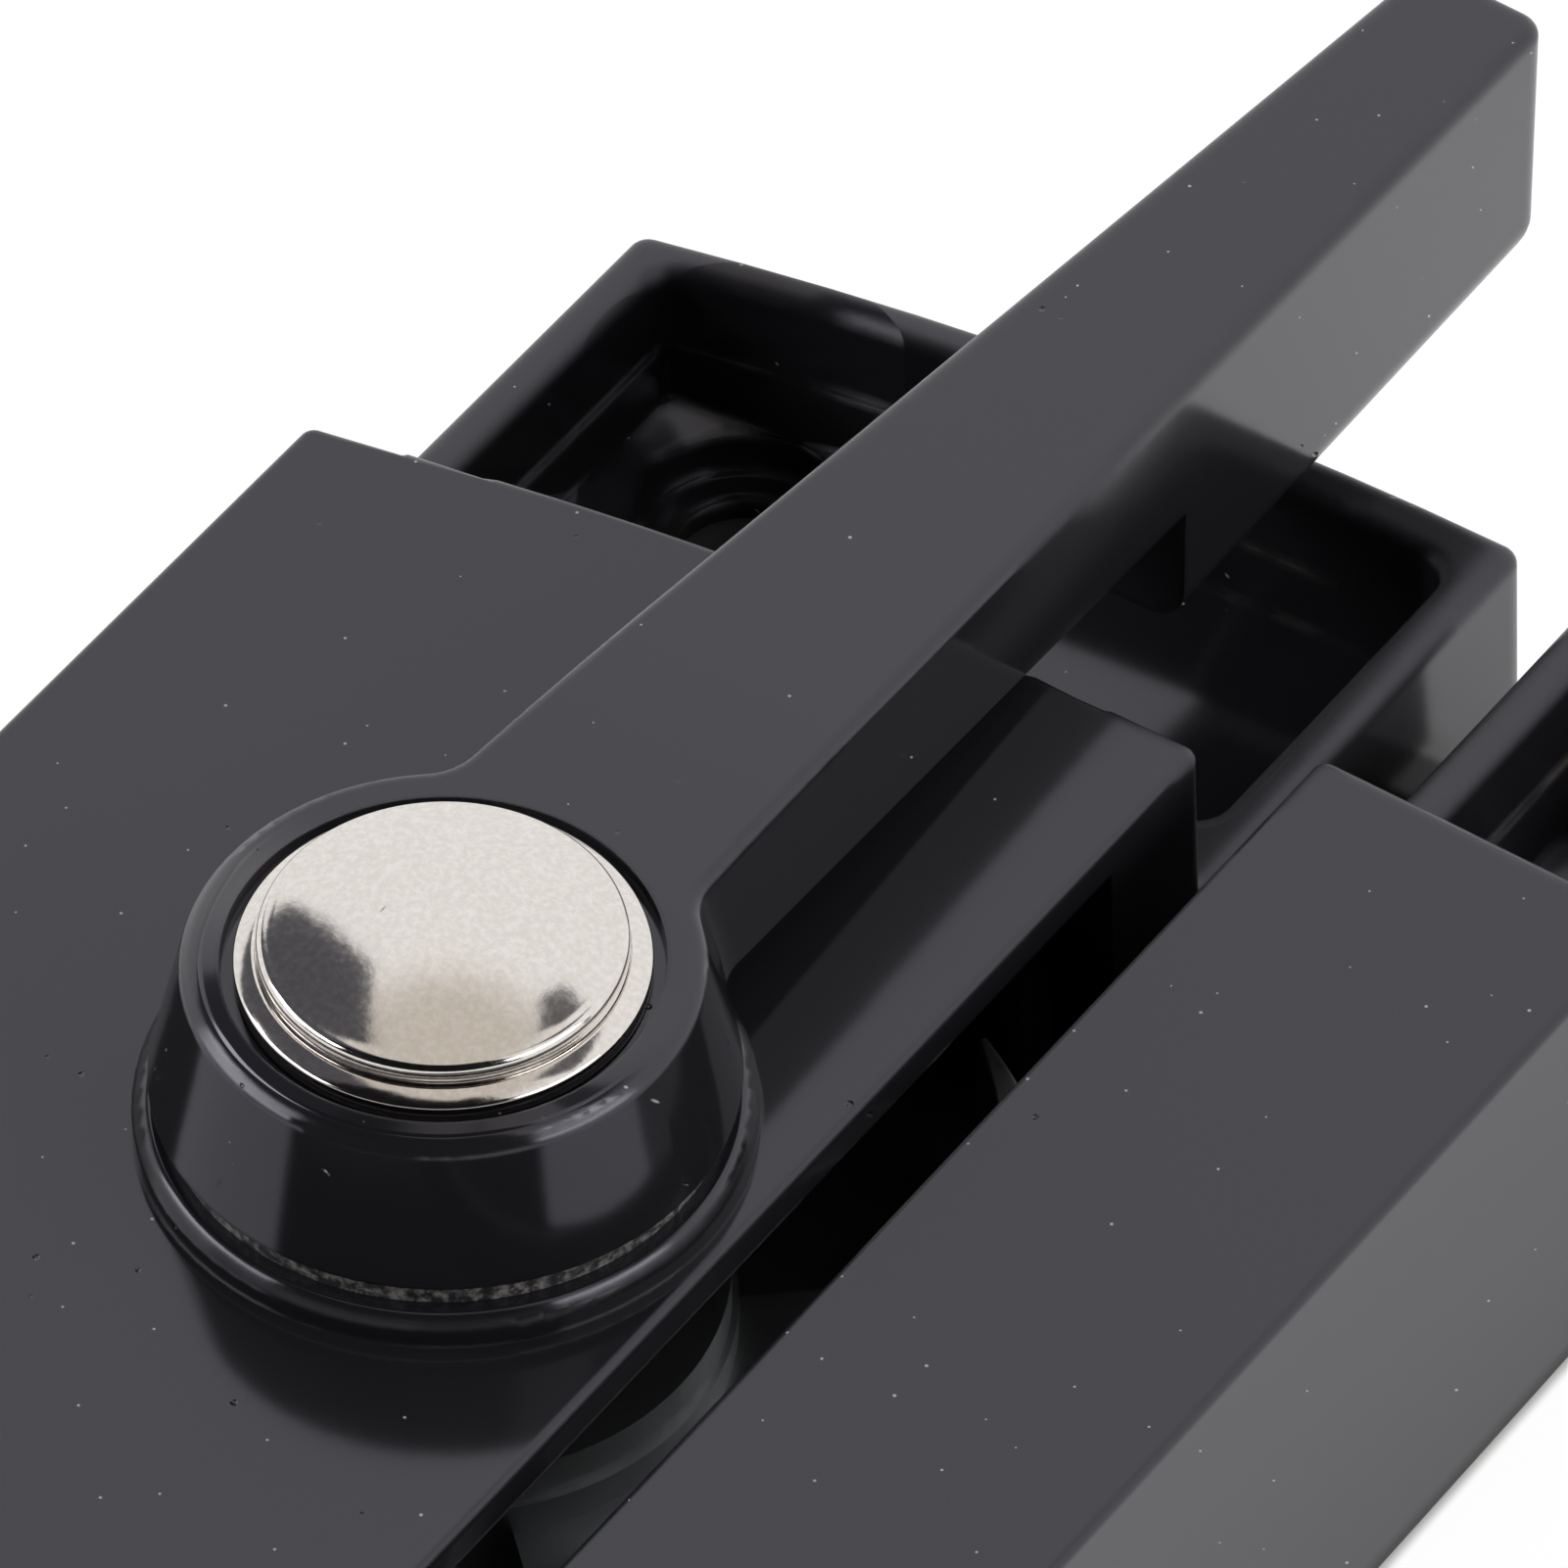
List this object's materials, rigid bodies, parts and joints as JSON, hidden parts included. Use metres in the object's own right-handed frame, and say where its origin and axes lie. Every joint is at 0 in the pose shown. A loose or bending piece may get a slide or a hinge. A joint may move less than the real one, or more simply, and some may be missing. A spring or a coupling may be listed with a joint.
{
  "type": "sliding window lock",
  "caption": "Cam lock for a sliding window: low die-cast housing, tapered lever on a domed rivet, crescent cam and a matching keeper.",
  "frame": {"origin": "where the lever's pivot axis meets the mounting face", "axes": "+Z out of the window frame along the pivot, +X towards the keeper, +Y along both castings towards the lever's tip"},
  "size_m": [0.0453, 0.0947, 0.0227],
  "materials": {
    "black_paint": "gloss",
    "chrome_plate": "polished",
    "zinc_plate": "satin",
    "spring_steel": "satin",
    "bronze": "satin",
    "nylon": "matte"
  },
  "bodies": {
    "root": {"housing": "black_paint", "pivot_bush": "bronze", "friction_washer": "nylon", "detent_spring": "spring_steel", "base_plate": "zinc_plate", "plate_rivets": "zinc_plate", "keeper_body": "black_paint", "keeper_hook": "zinc_plate"},
    "lever": {"lever": "black_paint", "pivot_rivet": "chrome_plate", "head_washer": "chrome_plate", "crescent_cam": "zinc_plate", "clamp_washer": "zinc_plate", "disc_spring": "spring_steel"}
  },
  "joints": [
    {"name": "lever_turn", "type": "hinge", "parent": "root", "child": "lever", "pos_m": [0, 0, 0], "axis": [0, 0, 1], "range_deg": [0, 180]}
  ]
}
